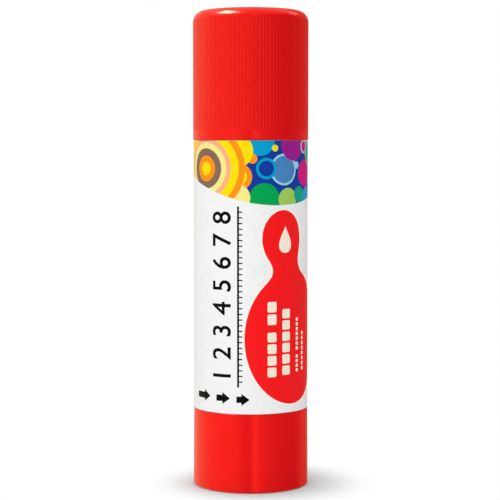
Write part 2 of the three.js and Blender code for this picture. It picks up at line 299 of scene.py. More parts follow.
# Cap: a cup with fine upright flutes, a smooth rim and a rounded top edge, and grip ribs inside. phases
# are the columns of points in a flute, as shares of the pitch.
cap = Sizes(
    wall=1.15, topWall=1.3, topRadius=2.4, topSteps=18, rimEdge=0.25, rowGap=3.0,
    flutes=100, fluteDepth=0.05, fluteHalfWidth=0.3, crownFrom=0.24, landCrown=0.015,
    phases=[0, 0.08, 0.16, 0.25, 0.37, 0.5, 0.63, 0.75, 0.84, 0.92],
    smoothRim=1.8, fluteRamp=0.5,
    grips=6, gripRadius=0.5, gripCentre=11.43, gripLow=2.0, gripHigh=16.5, gripRamp=0.5)


# The outer radius drops in each flute by depth x (1 - S(p / halfWidth)), where p is the distance from the
# groove's bottom as a share of the pitch and S the smooth step, and a second such step crowns the land
# between two grooves. The profile's own radius holds where it is smaller, so that the flutes run out in the
# rounded top edge. A grip rib is the near side of a small circle round a centre in the wall. The attribute
# groove is how deep a point lies in a flute, from 0 to 1.
def makeCap():
    rim, top = capLow[2], capHigh[2]
    bore, wallMiddle = bodyRadius - cap.wall, bodyRadius - cap.wall / 2
    ceiling = top - cap.topWall
    gripLow, gripHigh, ramp = cap.gripLow, cap.gripHigh, cap.gripRamp
    inner = roundedProfile([
        (0, ceiling), (bore / 2, ceiling), (bore, ceiling, cap.rimEdge),
        (bore, rim + gripHigh + ramp), (bore, rim + gripHigh), (bore, rim + gripLow + ramp),
        (bore, rim + gripLow), (bore, rim, cap.rimEdge), (wallMiddle, rim)])
    fluteLow = rim + cap.smoothRim
    rampTop = fluteLow + cap.fluteRamp
    rowsFrom, rowsTo = rampTop + cap.rowGap, top - cap.topRadius - cap.rowGap
    outer = roundedProfile([
        (wallMiddle, rim), (bodyRadius, rim, cap.rimEdge),
        *[(bodyRadius, z) for z in np.linspace(fluteLow, rampTop, 5)],
        *[(bodyRadius, z) for z in np.linspace(rowsFrom, rowsTo, 4)],
        (bodyRadius, top, cap.topRadius, cap.topSteps),
        (bodyRadius * 0.6, top), (bodyRadius * 0.2, top), (0, top)])[1:]
    pitch = 360 / cap.flutes
    angles = ((np.arange(cap.flutes)[:, None] + np.array(cap.phases)) * pitch).ravel()
    share = np.abs(fromNearest(angles, pitch)) / pitch
    groove = cap.fluteDepth * (1 - smoothStep(0, cap.fluteHalfWidth, share))
    land = cap.landCrown * (1 - smoothStep(cap.crownFrom, 0.5, share))
    cut = smoothStep(fluteLow, rampTop, outer[:, 1])[:, None] * (groove + land)
    outerRadii = np.minimum(outer[:, :1], bodyRadius - cut)
    aside = np.radians(fromNearest(angles, 360 / cap.grips, 180 / cap.grips))
    room = np.clip(cap.gripRadius ** 2 - (cap.gripCentre * np.sin(aside)) ** 2, 0, None)
    ribbed = np.where(room > 0, cap.gripCentre * np.cos(aside) - np.sqrt(room), bore)
    above = inner[:, 1] - rim
    ribWeight = smoothStep(gripLow, gripLow + ramp, above)
    ribWeight = ribWeight * (1 - smoothStep(gripHigh, gripHigh + ramp, above))
    innerRadii = inner[:, :1] - ribWeight[:, None] * np.clip(bore - ribbed, 0, None)
    radii = np.concatenate([innerRadii, outerRadii])
    levels = np.concatenate([inner[:, 1], outer[:, 1]])
    mesh = turnedMesh("cap", radii, levels, angles, sharp=58)
    # the depth share goes to the attribute groove, by which the cap's material paints shade into the flutes
    sunk = (outer[:, :1] - outerRadii) / (cap.fluteDepth + cap.landCrown)
    depths = np.concatenate([np.zeros(innerRadii.shape), sunk])[1:-1].ravel()
    shelter = mesh.attributes.new("groove", "FLOAT", "POINT")
    shelter.data.foreach_set("value", np.append(depths, [0.0, 0.0]))
    addPiece("cap", mesh, capRed, "cap", "cap_shell")


# Seal plug: a disc with a tapered ring, turned
sealPlug = Sizes(
    disc=1.0, ring=9.8, ringWall=0.8, bevel=0.5, lead=1.0, edge=0.12, topRow=5.0,
    columns=240)


def makeSealPlug():
    end, top, outside = plugLow[2], plugHigh[2], plugHigh[0]
    under, edge = top - sealPlug.disc, sealPlug.edge
    ring, inside = sealPlug.ring, sealPlug.ring - sealPlug.ringWall
    profile = roundedProfile([
        (0, under), (inside / 2, under), (inside, under, 0.2), (inside, end, edge),
        (ring - sealPlug.bevel, end, edge), (ring, end + sealPlug.lead, 0.4),
        (ring, under, edge), (outside, under, edge), (outside, top, 0.08),
        (sealPlug.topRow, top), (0, top)])
    mesh = turnedMesh("seal_plug", profile[:, 0], profile[:, 1], evenColumns(sealPlug.columns))
    addPiece("seal_plug", mesh, naturalCap, "cap", "cap_seal_plug")


# Barrel: sleeve, neck and skirt in one moulding, with four guide rails down its bore
tube = Sizes(
    neckRadius=10.85, boreRadius=9.95, skirtRadius=10.85, leadIn=0.3, leadHeight=0.6,
    snapProud=0.45, snapAbove=3.8, snapFoot=0.75, snapFlat=0.25,
    seatGap=0.2, capSeatGap=0.1, edge=0.1, mouthEdge=0.3,
    rails=4, railTip=9.5, railHalf=3.0, railFlank=0.3, railLow=5.9, railHigh=94.4,
    railRamp=0.4, columns=180)


# The bore's radius drops to the rails' tips where the angle is within railHalf of a rail
def makeBarrel():
    low, mouth = barrelLow[2], barrelHigh[2]
    shoulderLow, shoulderHigh = baseHigh[2] + tube.seatGap, capLow[2] - tube.capSeatGap
    skirt, neck, bore, sleeve = tube.skirtRadius, tube.neckRadius, tube.boreRadius, barrelHigh[0]
    snap, bead = low + tube.snapAbove, skirt + tube.snapProud
    far, flat = tube.snapFoot, tube.snapFlat
    edge, ramp = tube.edge, tube.railRamp
    railLow, railHigh = tube.railLow, tube.railHigh
    outside = roundedProfile([
        (bore, low), (skirt - tube.leadIn, low, edge), (skirt, low + tube.leadHeight, 0.2),
        (skirt, snap - far, edge), (bead, snap - flat, edge), (bead, snap + flat, edge),
        (skirt, snap + far, edge), (skirt, shoulderLow, edge), (sleeve, shoulderLow, edge),
        (sleeve, shoulderHigh, edge), (neck, shoulderHigh, edge), (neck, mouth, tube.mouthEdge),
        (bore, mouth, tube.mouthEdge), (bore, railHigh)])
    inside = np.array([
        (bore, railHigh - ramp), (bore, (railLow + railHigh) / 2), (bore, railLow + ramp), (bore, railLow)])
    profile = np.concatenate([outside, inside])
    half, flank = tube.railHalf, tube.railFlank
    angles = columnsWith(tube.columns, tube.rails, [-half - flank, -half, half, half + flank])
    aside = np.abs(fromNearest(angles, 360 / tube.rails))
    rail = np.clip((half + flank - aside) / flank, 0, 1) * (bore - tube.railTip)
    onBore = np.arange(len(profile)) >= len(outside) - 1
    weight = onBore * smoothStep(railLow, railLow + ramp, profile[:, 1])
    weight = weight * (1 - smoothStep(railHigh - ramp, railHigh, profile[:, 1]))
    radii = profile[:, :1] - weight[:, None] * rail
    mesh = turnedMesh("barrel_tube", radii, profile[:, 1], angles)
    addPiece("barrel_tube", mesh, barrelWhite, "body", "barrel")


# Twist base: a cup with a recess below, and inside it a snap groove, a sealing ring and the hub
foot = Sizes(
    wall=1.15, draft=0.1, wallRows=(4, 8, 12), rimEdge=0.5, rimSteps=7, rimWidth=2.0,
    recess=0.8, recessRow=4.0, bevel=0.5, floor=2.4, lipEdge=0.12, lipRise=0.15,
    snapLevel=6.6, groove=11.5, grooveFoot=1.05, grooveFlat=0.55,
    ring=9.8, ringWall=0.8, ringTop=5.6, hub=4.2, hubTop=5.2, hubRow=3.0,
    socketFlats=4.44, socketFloor=1.8, socketBevel=0.12, bevelDepth=0.15, columns=240)


# The socket's radius is flats / 2 / cos(angle from the nearest flat's middle), which is a hexagon
def makeBase():
    top = baseHigh[2] + foot.lipRise
    lip, bore = bodyRadius - foot.draft, bodyRadius - foot.wall
    rimInner = bodyRadius - foot.rimEdge - foot.rimWidth
    recess, floor, groove = foot.recess, foot.floor, foot.groove
    snap, far, flat = foot.snapLevel, foot.grooveFoot, foot.grooveFlat
    ring, ringInner, ringTop = foot.ring, foot.ring - foot.ringWall, foot.ringTop
    hub, hubTop, deep = foot.hub, foot.hubTop, foot.socketFloor
    outside = roundedProfile([
        (0, recess), (foot.recessRow, recess), (rimInner - foot.bevel, recess, 0.2),
        (rimInner, 0, 0.2), (bodyRadius, 0, foot.rimEdge, foot.rimSteps),
        *[(bodyRadius - foot.draft * z / top, z) for z in foot.wallRows],
        (lip, top, foot.lipEdge), (bore, top, 0.15),
        (bore, snap + far, 0.1), (groove, snap + flat, 0.1), (groove, snap - flat, 0.1),
        (bore, snap - far, 0.1), (bore, floor, 0.2),
        (ring, floor, 0.15), (ring, ringTop, 0.1), (ringInner, ringTop, 0.1), (ringInner, floor, 0.2),
        (hub, floor, 0.2), (hub, hubTop, 0.15), (foot.hubRow, hubTop)])
    angles = evenColumns(foot.columns)
    hexagon = foot.socketFlats / 2 / np.cos(np.radians(fromNearest(angles, 60, 30)))
    socketLevels = np.array([hubTop, hubTop - foot.bevelDepth, deep, deep])
    socketRadii = np.stack([hexagon + foot.socketBevel, hexagon, hexagon, hexagon * 0.5])
    pole = np.zeros((1, len(angles)))
    radii = np.concatenate([outside[:, :1] * np.ones(len(angles)), socketRadii, pole])
    levels = np.concatenate([outside[:, 1], socketLevels, [deep]])
    mesh = turnedMesh("base_cup", radii, levels, angles)
    addPiece("base_cup", mesh, baseRed, "drive", "twist_base")


# Glue: cast in the bore, so its side is smooth with four grooves for the rails, and its face is domed
stick = Sizes(
    hole=3.6, holeTop=1.2, low=15.6, inCup=8.6, cupFit=0.15, sideRows=(40, 65),
    dome=0.6, edge=0.7, edgeSteps=8, faceEdge=1.2, faceFrom=1.8, faceRows=9,
    grooves=4, grooveRadius=9.25, grooveHalf=4.1, grooveFlank=0.7, columns=180)


# The dome falls with the square of the radius, and the side's radius is cut back in the grooves
def makeGlue():
    radius, top = glueHigh[0], glueHigh[2]
    step = carrierHigh[2] + stick.cupFit
    holeTop, dome = top - stick.holeTop, stick.dome
    hole, low, inCup = stick.hole, stick.low, stick.inCup
    side = roundedProfile([
        (0, holeTop), (hole, holeTop, 0.3), (hole, low, 0.2), (inCup, low, 0.2), (inCup, step, 0.1),
        (radius, step, 0.2), *[(radius, z) for z in stick.sideRows],
        (radius, top - dome, stick.edge, stick.edgeSteps),
        (radius - stick.faceEdge, top - dome * (1 - stick.faceEdge / radius) ** 2)])
    share = np.linspace((radius - stick.faceFrom) / radius, 0, stick.faceRows)
    face = np.stack([share * radius, top - dome * share ** 2], 1)
    profile = np.concatenate([side, face])
    half, flank = stick.grooveHalf, stick.grooveFlank
    angles = columnsWith(stick.columns, stick.grooves, [
        -half - flank, -half - flank / 2, -half, half, half + flank / 2, half + flank])
    aside = np.abs(fromNearest(angles, 360 / stick.grooves))
    cut = (radius - stick.grooveRadius) * (1 - smoothStep(half, half + flank, aside))
    radii = np.minimum(profile[:, :1], radius - cut)
    mesh = turnedMesh("glue_stick_mass", radii, profile[:, 1], angles)
    addPiece("glue_stick_mass", mesh, glueWax(), "carriage", "glue")


# Cast glue: a soap-like gel, off-white and faintly translucent, with soft cloudy patches and fine flow
# marks. Its IOR is that of a wax, and light sinks in by a millimetre or so.
def glueWax(shade="#E6E1D3", light="#F0ECE0", sinkIn=1.2, dragHeight=0.6, relief=0.16, bumpDepth=0.15):
    material, tree = newMaterial("cast glue, waxy")
    coords = addNode(tree, "TexCoord").outputs["Object"]
    clouds = grainNoise(tree, coords, size=6.0, lengthwise=1.6, detail=3.0)
    drag = grainNoise(tree, coords, size=0.5, lengthwise=30.0, offset=0.5)
    pits = grainNoise(tree, coords, size=0.35, detail=1.0, offset=0.2)
    colour = cloudyColour(tree, clouds, shade, light)
    rough = addNode(tree, "MapRange", {"Value": clouds, **noiseSpan, "To Min": 0.36, "To Max": 0.46})
    height = addNode(tree, "Math", {0: drag, 1: dragHeight, 2: pits}, operation="MULTIPLY_ADD")
    addSurface(tree, height, relief, bumpDepth, {
        "Base Color": colour,
        "Roughness": rough,
        "IOR": 1.45,
        "Subsurface Weight": 0.35,
        "Subsurface Radius": (1.0, 0.85, 0.6),
        "Subsurface Scale": sinkIn * mm})
    return material


# Label: one wrap of printed film. x is the length round the barrel in mm from the front, z the level. The
# film ends at end degrees to either side, lifts over its own start from liftFrom to liftTo, and is bent in
# strips of column degrees. The band and the arrows come again after repeat degrees. slopeStep is the turn
# in degrees over which the lift's slope is taken, and points closer than mergeWithin are one.
film = Sizes(
    gap=0.02, thickness=0.1, end=187.5, liftFrom=157.5, liftTo=165.0, column=2.5,
    repeat=180.0, slopeStep=0.5, mergeWithin=1e-4)
wrapRadius = barrelHigh[0] + film.gap + film.thickness
wrapLength = 2 * math.pi * wrapRadius
filmLow, filmHigh = labelLow[2], labelHigh[2]

inks = {
    "film": "#F7F5F5", "black": "#07090A", "red": "#FF1A1E", "keyline": "#FFFAF2", "cream": "#FFF0DC",
    "taupe": "#8A6A5A", "orange": "#FF9614", "yellow": "#FFE100", "peach": "#FFB487", "pale": "#FBEC8E",
    "royal": "#123C9E", "cyan": "#00A0CF", "purple": "#A11C8C", "pink": "#DA0A82", "green": "#00A54F",
    "teal": "#00A887", "steel": "#4A86C0", "lime": "#A3CE5C", "sky": "#9AD4EA", "grey": "#8E9193"}

# The colour band along the label's top, whose lower edge swings round the stick. Its upper edge lies past
# the film's, which cuts it. Its warm part, filled from low mm above the film's lower edge, has rings round a
# disc, and scallops where it meets the cool part, and the two are repeated behind.
band = Sizes(
    middle=63.75, swing=3.62, lowestAt=39.5, second=0.42, secondAt=-4.0, step=2.0,
    past=1.0)
warm = Sizes(start=-17.7, end=-2.6, ringsPast=2.0, low=35.0, disc=(-10.6, 67.6))
rings = [
    ("orange", 9.4), ("yellow", 8.1), ("peach", 6.4), ("pale", 5.4), ("taupe", 4.2), ("orange", 2.7),
    ("yellow", 1.4)]
scallops = [
    ("yellow", -2.9, 71.2, 3.4), ("orange", -2.5, 65.9, 2.8), ("pale", -3.0, 61.6, 2.9),
    ("yellow", -2.5, 65.9, 1.7)]
# Discs of the cool part: ink, x, z, radius, and for one in a ring the ring's ink and the disc's share of it
discs = [
    ("cyan", 1.9, 73.4, 3.2), ("steel", 7.4, 67.4, 3.3, "sky", 0.86),
    ("purple", 9.9, 72.4, 3.2), ("green", 2.9, 61.3, 3.3),
    ("royal", 3.3, 67.6, 2.2, "cyan", 0.74), ("teal", 18.0, 71.4, 3.3, "lime", 0.86),
    ("pink", 14.4, 66.6, 2.8), ("lime", 8.4, 61.2, 2.4),
    ("cyan", 15.8, 60.9, 3.0), ("purple", 19.0, 65.2, 2.0, "sky", 0.8),
    ("pink", 14.0, 72.2, 1.5, "sky", 0.74), ("teal", 11.9, 62.2, 1.7),
    ("orange", 0.4, 69.6, 1.0), ("sky", 10.9, 68.3, 0.8),
    ("yellow", 5.2, 71.8, 0.7)]
# The two-lobed panel: centre and half sizes of its lobes and of the neck between them, and how softly they
# run together
panel = Sizes(
    parts=[(7.25, 53.1, 4.85, 5.9), (9.6, 32.3, 10.9, 13.9), (8.4, 46.5, 2.6, 3.0)], blend=1.05,
    keyline=0.42, seenFrom=(8.4, 45.0), reach=40.0, halvings=40, points=200)
# Rows of plain marks in the panel: x, width, gap, corner, and the (low, high) levels of each group
markRows = [
    (4.55, 2.0, 0.42, 0.33, [(24.3, 33.6), (35.2, 40.0)]), (7.95, 2.0, 0.42, 0.33, [(24.6, 38.4)]),
    (11.2, 0.75, 0.3, 0.18, [(25.0, 28.6), (29.6, 36.4)]), (13.3, 0.75, 0.3, 0.18, [(25.2, 33.4)])]
drop = Sizes(x=7.7, z=52.9, length=5.6, width=3.6, fullness=0.62, taper=1.5)
# The rule: bold numbers that read upwards, and a line with ticks. fontShare is the height of the built-in
# font's digits as a share of its size.
rule = Sizes(
    low=22.2, count=8, pitch=4.7, baseline=-4.3, digitHeight=4.3, fontShare=0.7,
    squeeze=0.92, bold=0.012, line=-2.85, lineWidth=0.42, lineCorner=0.1,
    tick=0.7, tickWidth=0.26, tickRoot=0.2, tickCorner=0.05, ticks=4)
# Arrows: middle, level and length of each
arrows = Sizes(
    places=[(-11.52, 20.05, 4.35), (-6.03, 19.86, 3.25), (-1.6, 19.67, 2.8)],
    shaft=1.3, head=2.5, headLength=1.75)
nameField = Sizes(
    x=(24.4, 33.6), z=(23.4, 57.5), line=0.3, corner=1.2,
    rules=[27.6, 30.8], ruleWidth=0.21, ruleInset=2.0, ruleCorner=0.05)
finePrint = Sizes(
    x=-34.0, pitch=1.45, width=0.5, low=23.4, lengths=[31, 33, 26, 34, 30, 32, 21, 29, 17],
    words=[3.1, 1.6, 4.3, 2.4, 3.7, 1.9, 2.8], gap=0.6, corner=0.12)


# The outline through points as an array of edges, closed
def edgesOf(points):
    points = np.asarray(points, float)
    return np.stack([points, np.roll(points, -1, 0)], 1)


# Each point lies at x plus the radius times cos t, z plus the radius times sin t
def circle(x, z, radius, points=64):
    t = np.linspace(0, 2 * np.pi, points, endpoint=False)
    return edgesOf(np.stack([x + radius * np.cos(t), z + radius * np.sin(t)], 1))


# A circle cut off at the left and at the right: each point's x is held between the two sides
def sectorOf(x, z, radius, left, right):
    edges = circle(x, z, radius, points=120)
    edges[..., 0] = np.clip(edges[..., 0], left, right)
    return edges[np.abs(edges[:, 0] - edges[:, 1]).sum(1) > 1e-6]


# A bar with round ends: a rectangle whose corners are quarter circles, each the one before turned by 90
# degrees
def bar(x0, x1, z0, z1, corner):
    t = np.radians(np.arange(0, 91, 15))
    quarter = np.stack([np.cos(t), np.sin(t)], 1) * corner
    arcs = []
    for x, z in ((x1 - corner, z1 - corner), (x0 + corner, z1 - corner),
                 (x0 + corner, z0 + corner), (x1 - corner, z0 + corner)):
        arcs.append(quarter + (x, z))
        quarter = quarter @ np.array([[0, 1], [-1, 0]])
    return edgesOf(np.concatenate(arcs))


# An arrow that points to +x: a straight bar, and a triangle as its head
def arrowAt(x, z, length):
    half = length / 2
    neck = half - arrows.headLength
    shaft, head = arrows.shaft / 2, arrows.head / 2
    return edgesOf([
        (x - half, z - shaft), (x + neck, z - shaft), (x + neck, z - head), (x + half, z),
        (x + neck, z + head), (x + neck, z + shaft), (x - half, z + shaft)])


# Digits that read upwards: the flat letters' open edges, turned a quarter turn
def numberAt(text, baseline, middle):
    curve = bpy.data.curves.new("digits", "FONT")
    curve.body = text
    curve.align_x = "CENTER"
    curve.resolution_u = 4
    curve.offset = rule.bold
    holder = addObject("digits", curve)
    shown = bpy.context.evaluated_depsgraph_get()
    flat = bpy.data.meshes.new_from_object(holder.evaluated_get(shown))
    places = np.array([v.co[:2] for v in flat.vertices])
    sides = np.array([(p.vertices[k - 1], p.vertices[k])
                      for p in flat.polygons for k in range(len(p.vertices))])
    pairs, uses = np.unique(np.sort(sides, 1), axis=0, return_counts=True)
    openSides = places[pairs[uses == 1]]
    bpy.data.objects.remove(holder)
    bpy.data.meshes.remove(flat)
    bpy.data.curves.remove(curve)
    size = rule.digitHeight / rule.fontShare
    across = middle + openSides[..., 0] * size * rule.squeeze
    return np.stack([baseline - openSides[..., 1] * size, across], -1)


# The panel's outline. Each ellipse counts exp((1 - s) x half width / blend), where s is the distance from
# its centre as a share of the way to its edge, and the outline is where the counts add up to 1. It is found
# by halving along rays from a point inside, and then moved outwards by grow mm.
def panelOutline(grow):
    t = np.linspace(0, 2 * np.pi, panel.points, endpoint=False)
    ways = np.stack([np.cos(t), np.sin(t)], 1)
    near, far = np.zeros(len(t)), np.full(len(t), panel.reach)
    for _ in range(panel.halvings):
        middle = (near + far) / 2
        points = panel.seenFrom + ways * middle[:, None]
        total = 0
        for x, z, wide, high in panel.parts:
            share = np.hypot((points[:, 0] - x) / wide, (points[:, 1] - z) / high)
            total = total + np.exp((1 - share) * wide / panel.blend)
        near, far = np.where(total > 1, middle, near), np.where(total > 1, far, middle)
    outline = panel.seenFrom + ways * near[:, None]
    along = np.roll(outline, -1, 0) - np.roll(outline, 1, 0)
    outwards = np.stack([along[:, 1], -along[:, 0]], 1) / np.linalg.norm(along, axis=1)[:, None]
    return edgesOf(outline + outwards * grow)


# A drop with its tip up: x goes with sin t times a power of sin(t / 2), and z with cos t
def dropOutline():
    t = np.linspace(0, 2 * np.pi, 48, endpoint=False)
    x = drop.x + drop.width * drop.fullness * np.sin(t) * np.sin(t / 2) ** drop.taper
    return edgesOf(np.stack([x, drop.z + drop.length / 2 * np.cos(t)], 1))


# The band's lower edge: one slow cosine round the stick and a small one twice as fast
def bandEdge(x):
    slow = np.cos(x / wrapRadius - math.radians(band.lowestAt))
    fast = np.cos(2 * (x / wrapRadius - math.radians(band.secondAt)))
    return band.middle - band.swing * slow - band.second * fast


# The band's shapes as (ink, edges): its own, the discs of the cool part, and then the warm part
def bandShapes():
    span = wrapRadius * math.radians(film.end)
    top = filmHigh + band.past
    steps = np.arange(-span - band.step, span + 2 * band.step, band.step / 2)
    low = np.stack([steps, bandEdge(steps)], 1)
    shapes = [("royal", edgesOf(np.concatenate([low, [(steps[-1], top), (steps[0], top)]])))]
    shifts = [k * wrapLength * film.repeat / 360 for k in range(-2, 3)]
    for shift in shifts:
        for ink, x, z, radius, *rim in discs:
            if rim:
                shapes.append((rim[0], circle(x + shift, z, radius)))
                radius *= rim[1]
            shapes.append((ink, circle(x + shift, z, radius)))
    for shift in shifts:
        bottom, start, end = filmLow + warm.low, warm.start + shift, warm.end + shift
        shapes.append(("yellow", edgesOf([(start, bottom), (end, bottom), (end, top), (start, top)])))
        shapes += [(ink, circle(x + shift, z, radius)) for ink, x, z, radius in scallops]
        x, z = warm.disc
        shapes += [(ink, sectorOf(x + shift, z, radius, start, end + warm.ringsPast))
                   for ink, radius in rings]
    return shapes


# The panel with its drop and marks
def panelShapes():
    shapes = [("keyline", panelOutline(panel.keyline)), ("red", panelOutline(0)), ("cream", dropOutline())]
    for x, width, gap, corner, groups in markRows:
        for low, high in groups:
            marks = max(1, round((high - low + gap) / (width + gap)))
            length = (high - low + gap) / marks - gap
            for k in range(marks):
                z = low + k * (length + gap)
                shapes.append(("cream", bar(x - width / 2, x + width / 2, z, z + length, corner)))
    return shapes


# The numbers, and the line with its ticks
def ruleShapes():
    low, pitch, corner = rule.low, rule.pitch, rule.tickCorner
    left, right, high = rule.line, rule.line + rule.lineWidth, low + pitch * rule.count
    shapes = [("black", numberAt(str(k + 1), rule.baseline, low + pitch * (k + 0.5)))
              for k in range(rule.count)]
    shapes.append(("black", bar(left, right, low, high, rule.lineCorner)))
    half, root, tip = rule.tickWidth / 2, right - rule.tickRoot, right + rule.tick
    for z in np.linspace(low, high, rule.ticks * rule.count + 1)[1:-1]:
        shapes.append(("black", bar(root, tip, z - half, z + half, corner)))
    return shapes


# The name field and the rows of short grey marks, on the back
def backShapes():
    x0, x1, z0, z1 = *nameField.x, *nameField.z
    line, corner = nameField.line, nameField.corner
    shapes = [("black", bar(x0, x1, z0, z1, corner)),
              ("keyline", bar(x0 + line, x1 - line, z0 + line, z1 - line, corner - line))]
    width, inset = nameField.ruleWidth, nameField.ruleInset
    for x in nameField.rules:
        shapes.append(("grey", bar(x, x + width, z0 + inset, z1 - inset, nameField.ruleCorner)))
    words, width = finePrint.words, finePrint.width
    for k, length in enumerate(finePrint.lengths):
        x, start, word = finePrint.x + k * finePrint.pitch, 0.0, 3 * k
        while start < length:
            end = start + words[word % len(words)]
            low = finePrint.low + start
            shapes.append(("grey", bar(x, x + width, low, low + end - start, finePrint.corner)))
            start, word = end + finePrint.gap, word + 1
    return shapes


# All printed shapes in the order of printing: (ink, edges, whether they show inside the band alone)
def printedShapes():
    turned = wrapLength * film.repeat / 360
    arrowShapes = [("black", arrowAt(x + shift, z, length))
                   for shift in (0, turned) for x, z, length in arrows.places]
    others = panelShapes() + arrowShapes + ruleShapes() + backShapes()
    return [(*s, k > 0) for k, s in enumerate(bandShapes())] + [(*s, False) for s in others]


# Which points lie inside an outline: an odd number of its edges is crossed on the way to the right
def insideOf(points, edges):
    found = np.zeros(len(points), bool)
    low, high = edges.min((0, 1)), edges.max((0, 1))
    near = np.where(((points >= low) & (points <= high)).all(1))[0]
    x, z = points[near, 0][:, None], points[near, 1][:, None]
    (x0, z0), (x1, z1) = edges[:, 0].T, edges[:, 1].T
    spans = (z0 > z) != (z1 > z)
    with np.errstate(divide="ignore", invalid="ignore"):
        crossing = x0 + (z - z0) * (x1 - x0) / (z1 - z0)
    found[near] = (spans & (x < crossing)).sum(1) % 2 == 1
    return found


# The print is a mosaic: every outline and a line each few degrees are cut into one flat sheet of triangles,
# and each triangle takes the last ink printed over it
def printedSheet():
    end = wrapRadius * math.radians(film.end)
    columns = np.linspace(-end, end, int(round(2 * film.end / film.column)) + 1)
    shapes = printedShapes()
    lines = np.array([[(x, filmLow), (x, filmHigh)] for x in columns])
    frameLines = np.array([[(-end, z), (end, z)] for z in (filmLow, filmHigh)])
    edges = np.concatenate([lines, frameLines] + [s[1] for s in shapes])
    places = [Vector(p) for p in edges.reshape(-1, 2).tolist()]
    pairs = np.arange(len(places)).reshape(-1, 2).tolist()
    made = delaunay_2d_cdt(places, pairs, [], 0, film.mergeWithin, False)
    flat = np.array([p[:] for p in made[0]])
    faces = np.array([f for f in made[2]])
    middles = flat[faces].mean(1)
    kept = (np.abs(middles[:, 0]) < end) & (middles[:, 1] > filmLow) & (middles[:, 1] < filmHigh)
    faces, middles = faces[kept], middles[kept]
    inBand = insideOf(middles, shapes[0][1])
    ink = np.tile(linear(inks["film"]), (len(faces), 1))
    for name, outline, bandOnly in shapes:
        covered = insideOf(middles, outline)
        ink[covered & inBand if bandOnly else covered] = linear(inks[name])
    used, faces = np.unique(faces, return_inverse=True)
    return flat[used], faces.reshape(-1, 3), ink


# The sheet is wrapped into a spiral: a point at x goes to the angle x / wrapRadius, and its radius is
# wrapRadius, and one film more where the end laps over the start. A copy inside, and strips along the open
# edges, close it to a solid film. The shading follows the spiral and not the triangles.
def makeLabel():
    flat, faces, ink = printedSheet()
    count = len(flat)
    turn = flat[:, 0] / wrapRadius
    degrees = np.degrees(turn)
    lift = film.gap + film.thickness
    radius = wrapRadius + lift * smoothStep(film.liftFrom, film.liftTo, degrees)
    ahead = wrapRadius + lift * smoothStep(film.liftFrom, film.liftTo, degrees + film.slopeStep)
    slope = (ahead - radius) / math.radians(film.slopeStep)
    zero = np.zeros(count)
    out = np.stack([np.sin(turn), -np.cos(turn), zero], 1)
    along = np.stack([np.cos(turn), np.sin(turn), zero], 1)
    level = np.stack([zero, zero, flat[:, 1]], 1)
    innerRadius = radius - film.thickness
    vertices = np.concatenate([out * radius[:, None] + level, out * innerRadius[:, None] + level])
    normals = out * radius[:, None] - along * slope[:, None]
    normals /= np.linalg.norm(normals, axis=1)[:, None]

    sides = np.concatenate([faces[:, [0, 1]], faces[:, [1, 2]], faces[:, [2, 0]]])
    keys = np.sort(sides, 1) @ [count, 1]
    _, first, uses = np.unique(keys, return_index=True, return_counts=True)
    start, end = sides[first[uses == 1]].T
    rims = np.stack([end, start, start + count, end + count], 1)
    inner = faces[:, ::-1] + count
    mesh = bpy.data.meshes.new("label_film")
    mesh.from_pydata((vertices * mm).tolist(), [], faces.tolist() + inner.tolist() + rims.tolist())
    corners = vertices[rims]
    rimWay = np.cross(corners[:, 1] - corners[:, 0], corners[:, 3] - corners[:, 0])
    rimWay /= np.linalg.norm(rimWay, axis=1)[:, None]
    cornerNormals = np.concatenate([
        normals[faces].reshape(-1, 3), -normals[inner - count].reshape(-1, 3), np.repeat(rimWay, 4, 0)])
    plain = np.tile(linear(inks["film"]), (len(inner) * 3 + len(rims) * 4, 1))
    colours = np.concatenate([np.repeat(ink, 3, 0), plain]).astype(np.float32)
    mesh.color_attributes.new("ink", "FLOAT_COLOR", "CORNER").data.foreach_set("color", colours.ravel())
    mesh.shade_smooth()
    mesh.normals_split_custom_set(cornerNormals.tolist())
    addPiece("label_film", mesh, printedFilm(), "body", "label")


# Printed polypropylene film: flat solid inks under a satin varnish. The eye sees the inks' slight
# unevenness and a soft, very weak highlight, which the film's faint ripples break up.
def printedFilm(gloss=0.05, inkLow=0.965, rippleHeight=3.0, relief=0.04, bumpDepth=0.1):
    material, tree = newMaterial("printed polypropylene film, satin varnish")
    coords = addNode(tree, "TexCoord").outputs["Object"]
    ink = addNode(tree, "Attribute", attribute_name="ink").outputs["Color"]
    mottle = grainNoise(tree, coords, size=1.2, detail=3.0)
    ripple = grainNoise(tree, coords, size=7.0, lengthwise=2.0, detail=1.0, offset=0.6)
    grain = grainNoise(tree, coords, size=0.4, detail=1.0, offset=0.2)
    kept = addNode(tree, "MapRange", {"Value": mottle, **noiseSpan, "To Min": inkLow})
    shade = addNode(tree, "VectorMath", {0: ink, "Scale": kept}, operation="SCALE")
    rough = addNode(tree, "MapRange", {"Value": mottle, **noiseSpan, "To Min": 0.3, "To Max": 0.36})
    height = addNode(tree, "Math", {0: ripple, 1: rippleHeight, 2: grain}, operation="MULTIPLY_ADD")
    addSurface(tree, height, relief, bumpDepth, {
        "Base Color": shade,
        "Roughness": rough,
        "Specular IOR Level": gloss})
    return material


makeCap()
makeSealPlug()
makeBarrel()
makeBase()
makeGlue()
makeLabel()

# The lead screw and the carrier keep their CAD shapes
for node, finish in {"spindle": naturalScrew, "carrier": naturalCarrier}.items():
    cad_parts[node].data.materials.clear()
    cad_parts[node].data.materials.append(finish)
print("pieces and finishes done")
